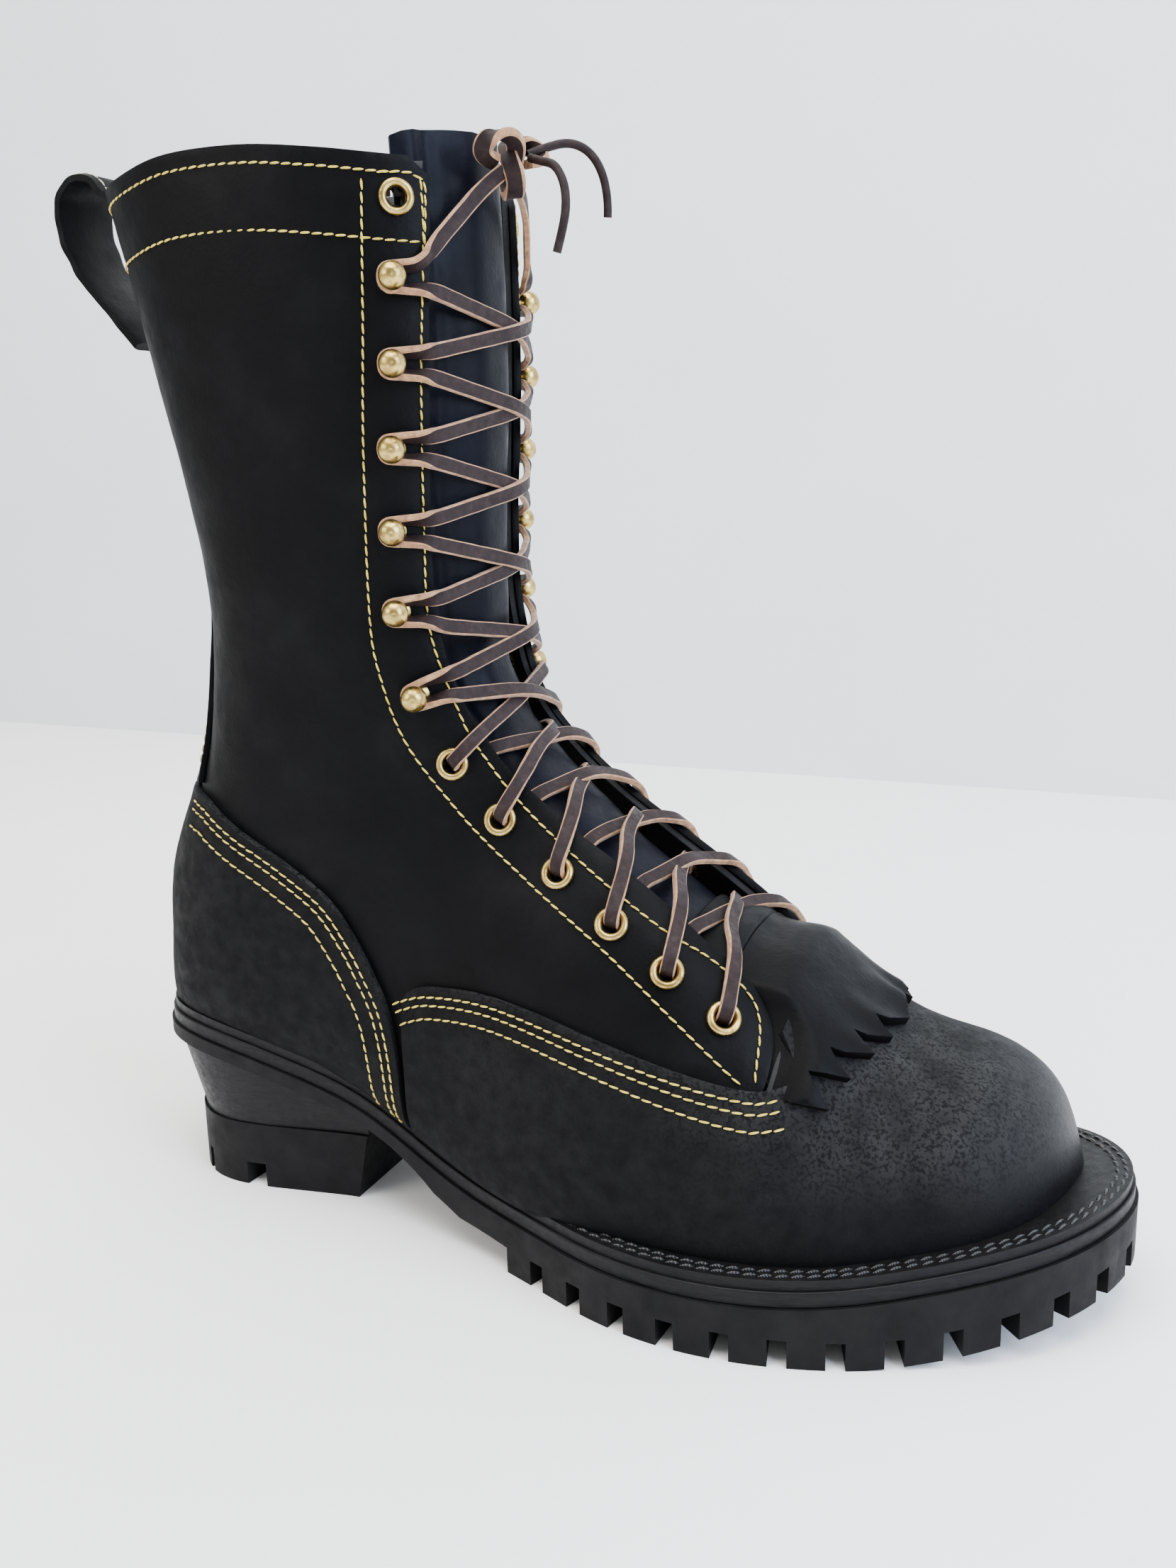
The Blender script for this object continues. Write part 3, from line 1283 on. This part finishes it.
TAIL_FRONT = [(98, -6, 312.5), (102.2, -7, 311), (107, -9.5, 309.5), (110.5, -11.5, 304.5),
              (111.5, -12.5, 298.5), (110.5, -13, 292.5), (108.5, -13, 286.5)]
TAIL_BACK = [(96, -3, 314), (101, 1, 316.5), (106, 4.5, 317.5), (110.5, 7, 315), (113.5, 8.5, 309.5),
             (114.5, 9.5, 302), (114, 10, 298)]


def build_tail(name, node, route):
    """A short free end of the lace at the knot."""
    spots = stretched(np.array(route, float)) * MM
    curve = bpy.data.curves.new(name, "CURVE")
    curve.dimensions = "3D"
    curve.bevel_depth = LACE_RADIUS * MM
    curve.bevel_resolution = 3
    curve.use_fill_caps = True
    spline = curve.splines.new("NURBS")
    spline.points.add(len(spots) - 1)
    for point, spot in zip(spline.points, spots):
        point.co = (*spot, 1.0)
    spline.order_u = 3
    spline.use_endpoint_u = True
    curve.materials.append(GRAIN)
    piece = placed(name, curve)
    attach(piece, "boot")
    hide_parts(node)


# ---- the sole
def softened(node, name, material, width, segments=2):
    """A CAD node's own shape with its edges rounded, standing for the node."""
    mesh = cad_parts[node].data.copy()
    mesh.materials.clear()
    mesh.materials.append(material)
    piece = placed(name, mesh)
    build = bmesh.new()
    build.from_mesh(mesh)
    bmesh.ops.remove_doubles(build, verts=build.verts, dist=1e-6)
    bmesh.ops.dissolve_limit(build, angle_limit=math.radians(1.5), verts=build.verts, edges=build.edges)
    build.to_mesh(mesh)
    build.free()
    bevel = piece.modifiers.new("Round", "BEVEL")
    bevel.width = width * MM
    bevel.segments = segments
    bevel.limit_method = "ANGLE"
    bevel.angle_limit = math.radians(38)
    bevel.harden_normals = False
    mesh.shade_smooth()
    mesh.set_sharp_from_angle(angle=math.radians(42))
    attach(piece, "boot")
    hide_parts(node)
    return piece


SOLE_PLAN = [(-45, 0), (-42, -17), (-32, -30), (-14, -37), (10, -38.5), (36, -38.5), (60, -40),
             (82, -44), (106, -52), (132, -62.5), (155, -67), (177, -66), (198, -61), (218, -53),
             (236, -44), (251, -33), (262, -19.5), (268.5, -4), (269.5, 8), (265, 22), (254, 34),
             (238, 42), (218, 47), (196, 49), (174, 49), (150, 45.5), (122, 39.5), (96, 36),
             (66, 36), (36, 37), (10, 38), (-14, 37), (-32, 30), (-42, 17), (-45, 0)]


def ledge_row(inset):
    """A row on top of the stitched ledge, an inset inside the sole's edge."""
    plan = offset_curve(fine_curve(SOLE_PLAN, 2.0), inset)
    height = height_on(LEDGE, plan[:, 0] * LONG)
    points = stretched(np.stack([plan[:, 0], plan[:, 1], height], 1))
    ups = np.tile([0.0, 0.0, 1.0], (len(points), 1))
    return points, ups


# Node, piece name, material and rounding of each layer of the sole.
SOLE_LAYERS = (("outsole", "outsole_rubber", RUBBER, 0.55), ("heel_lift", "heel_lift_rubber", RUBBER, 0.55),
               ("heel_block", "heel_block_stack", EDGE, 0.5), ("midsole", "midsole_leather", EDGE, 0.4),
               ("welt", "welt_leather", EDGE, 0.6))
LEDGE_ROWS = (3.9, 6.2)


def build_sole():
    for layer in SOLE_LAYERS:
        softened(*layer)
    rows = [ledge_row(inset) for inset in LEDGE_ROWS]
    stitches("welt_lockstitch", rows, BLACK, pitch=4.2, length=3.9, radius=0.62, slant=0.2)


def paint_hidden():
    """CAD nodes kept as they are, inside the sole."""
    for node, material in (("shank", STEEL), ("heel_screws", STEEL), ("cork_filler", CORK),
                           ("insole", LINING), ("toe_puff", LINING)):
        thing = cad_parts[node]
        thing.data.materials.clear()
        thing.data.materials.append(material)


# ---- stage
def build_stage():
    """A floor that meets a wall behind the boot."""
    reach, wall, height = 3.0, 0.62, 2.5
    for name, near, far, top, colour in (("floor", -reach, wall, 0, (0.93, 0.915, 0.905)),
                                         ("wall", wall, wall, height, (0.72, 0.74, 0.74))):
        mesh = bpy.data.meshes.new(name)
        mesh.from_pydata([(-reach, near, 0), (reach, near, 0), (reach, far, top), (-reach, far, top)], [],
                         [(0, 1, 2, 3)])
        mesh.materials.append(pale_backdrop("pale_" + name, colour))
        placed(name, mesh)


def area_light(name, place, aim, size, power, colour):
    light = bpy.data.lights.new(name, "AREA")
    light.shape = "RECTANGLE"
    light.size, light.size_y = size
    light.energy = power
    light.color = colour
    thing = placed(name, light)
    thing.location = place
    thing.rotation_euler = (Vector(aim) - Vector(place)).to_track_quat("-Z", "Y").to_euler()


def build_lights():
    middle = (0.11, 0, 0.14)
    area_light("ceiling", (0.1, -0.3, 1.7), middle, (1.6, 1.2), 58, (1.0, 0.98, 0.95))
    area_light("window", (1.3, -0.35, 0.75), middle, (0.9, 1.1), 40, (0.66, 0.78, 1.0))
    area_light("fill", (-0.9, -1.2, 0.9), middle, (1.0, 0.8), 15, (1.0, 0.97, 0.93))
    world = bpy.data.worlds.new("room")
    world.use_nodes = True
    world.node_tree.nodes["Background"].inputs["Color"].default_value = (0.80, 0.82, 0.84, 1)
    world.node_tree.nodes["Background"].inputs["Strength"].default_value = 1.0
    bpy.context.scene.world = world


# The photograph's viewpoint: place in metres, yaw, pitch and roll in degrees, lens in millimetres.
CAMERA_PLACE = (0.2742, -0.3778, 0.2317)
CAMERA_ANGLES = (23.71, 12.95, -1.38)
CAMERA_LENS, SENSOR_WIDTH = 32.22, 36.0


def build_camera():
    yaw, pitch, roll = (math.radians(angle) for angle in CAMERA_ANGLES)
    ahead = Vector((-math.sin(yaw) * math.cos(pitch), math.cos(yaw) * math.cos(pitch), -math.sin(pitch)))
    level = Vector((math.cos(yaw), math.sin(yaw), 0))
    upright = level.cross(ahead)
    right = level * math.cos(roll) + upright * math.sin(roll)
    up = upright * math.cos(roll) - level * math.sin(roll)
    camera = bpy.data.cameras.new("camera")
    camera.lens = CAMERA_LENS
    camera.sensor_width = SENSOR_WIDTH
    thing = placed("camera", camera)
    turn = Matrix((right, up, -ahead)).transposed().to_4x4()
    thing.matrix_world = Matrix.Translation(CAMERA_PLACE) @ turn
    bpy.context.scene.camera = thing


# ---- build
build_quarters()
build_facings()
build_vamp()
build_vamp_lining()
build_counter()
build_heel_counter()
build_backstay()
build_collar()
build_tongue()
build_gussets()
build_kiltie()
loop_rows = build_pull_loop()
build_fittings()
build_lace()
build_knot()
build_tail("lace_tail_front_end", "lace_tail_front", TAIL_FRONT)
build_tail("lace_tail_back_end", "lace_tail_back", TAIL_BACK)
stitches("yellow_stitching", quarter_rows + overlay_rows, YELLOW)
stitches("backstay_stitching", strip_rows + loop_rows, PALE)
build_sole()
paint_hidden()
build_stage()
build_lights()
build_camera()
